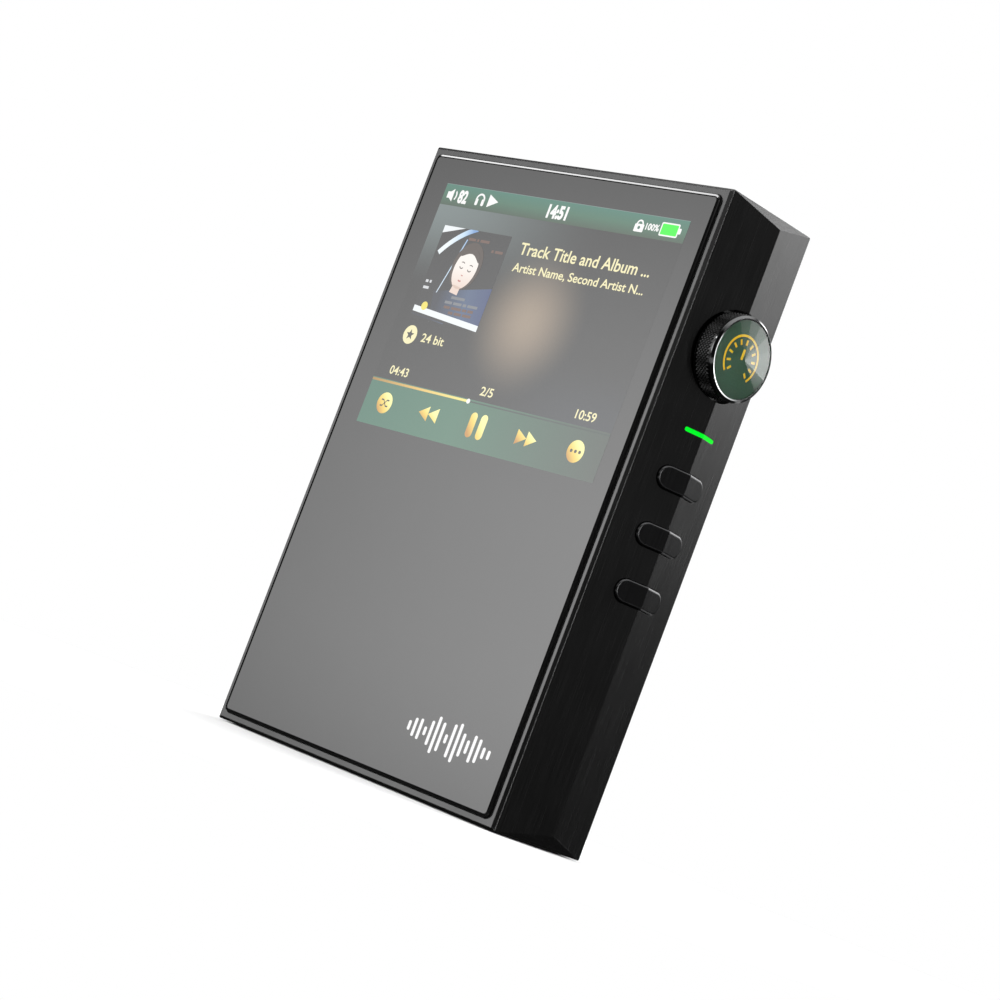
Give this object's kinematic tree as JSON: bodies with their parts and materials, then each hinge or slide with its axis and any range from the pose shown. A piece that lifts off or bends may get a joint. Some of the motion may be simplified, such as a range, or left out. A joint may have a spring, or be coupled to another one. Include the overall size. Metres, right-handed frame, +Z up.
{
  "type": "digital audio player",
  "caption": "Pocket music player: black metal case with a ridge down each side, cover glass over a display, knurled volume knob, pill keys, and headphone jacks and a charging port below.",
  "frame": {"origin": "centre of the case's flat bottom face, halfway between the front and back faces", "axes": "+Z up the case to its top, +X towards the side with the knob and the keys, and the display faces -Y"},
  "size_m": [0.0825, 0.0222, 0.11],
  "materials": {
    "case_black": "satin",
    "cover_black": "satin",
    "key_black": "satin",
    "grip_black": "satin",
    "trim_polished": "polished",
    "emblem_green": "satin",
    "crystal_clear": "polished",
    "cover_glass": "polished",
    "touch_glass": "polished",
    "panel_dark": "gloss",
    "backlight_white": "matte",
    "gasket_black": "matte",
    "moulding_black": "matte",
    "flex_amber": "satin",
    "board_green": "satin",
    "screw_black": "satin",
    "screw_steel": "satin",
    "pressed_steel": "satin",
    "encoder_metal": "satin",
    "moulding_white": "matte",
    "light_green": "satin",
    "light_chip": "matte",
    "jack_gold": "polished",
    "chip_black": "matte",
    "clock_silver": "satin",
    "capacitor_sleeve": "satin",
    "inductor_grey": "matte",
    "cell_silver": "satin",
    "tape_black": "matte",
    "lead_red": "satin"
  },
  "bodies": {
    "chassis": {"housing": "case_black", "back_cover": "cover_black", "back_cover_screws": "screw_black", "glass_gasket": "gasket_black", "front_glass": "cover_glass", "touch_sensor": "touch_glass", "display_panel": "panel_dark", "display_backlight": "backlight_white", "display_foam": "gasket_black", "display_flex": "flex_amber", "display_socket": "moulding_black", "glass_support_frame": "moulding_black", "key_switches": "pressed_steel", "status_light_guide": "light_green", "status_light_chips": "light_chip", "key_board": "board_green", "key_board_screws": "screw_steel", "key_board_flex": "flex_amber", "encoder_body": "encoder_metal", "encoder_snap_dome": "pressed_steel", "encoder_washer": "screw_steel", "encoder_nut": "screw_steel", "encoder_flex": "flex_amber", "balanced_jack": "moulding_black", "balanced_jack_ring": "jack_gold", "headphone_jack": "moulding_black", "headphone_jack_ring": "jack_gold", "usb_shell": "pressed_steel", "usb_tongue": "moulding_black", "usb_board": "board_green", "usb_board_connector": "moulding_black", "upper_card_socket": "pressed_steel", "lower_card_socket": "pressed_steel", "main_board": "board_green", "main_board_screws": "screw_steel", "processor_shield": "pressed_steel", "dac_ladder_resistors": "chip_black", "amplifier_chips": "chip_black", "clock_oscillators": "clock_silver", "filter_capacitors": "capacitor_sleeve", "power_inductors": "inductor_grey", "battery": "cell_silver", "battery_tape": "tape_black", "battery_protection_board": "board_green", "battery_socket": "moulding_white", "battery_plug": "moulding_white", "battery_leads": "lead_red"},
    "knob_slider": {"encoder_push_cup": "moulding_white"},
    "knob": {"knob_grip": "grip_black", "knob_trim_ring": "trim_polished", "knob_emblem_disc": "emblem_green", "knob_crystal": "crystal_clear", "encoder_shaft": "encoder_metal"},
    "previous": {"previous_key": "key_black", "previous_switch_plunger": "moulding_white"},
    "play": {"play_key": "key_black", "play_switch_plunger": "moulding_white"},
    "next": {"next_key": "key_black", "next_switch_plunger": "moulding_white"}
  },
  "joints": [
    {"name": "knob_push", "type": "slide", "parent": "chassis", "child": "knob_slider", "axis": [-1, 0, 0], "range_m": [0, 0.00035], "stiffness_N_per_m": 4000},
    {"name": "knob_turn", "type": "hinge", "parent": "knob_slider", "child": "knob", "pos_m": [0.0421, 0, 0.085], "axis": [1, 0, 0], "continuous": true},
    {"name": "previous_press", "type": "slide", "parent": "chassis", "child": "previous", "axis": [-1, 0, 0], "range_m": [0, 0.0003], "stiffness_N_per_m": 2000},
    {"name": "play_press", "type": "slide", "parent": "chassis", "child": "play", "axis": [-1, 0, 0], "range_m": [0, 0.0003], "stiffness_N_per_m": 2000},
    {"name": "next_press", "type": "slide", "parent": "chassis", "child": "next", "axis": [-1, 0, 0], "range_m": [0, 0.0003], "stiffness_N_per_m": 2000}
  ]
}
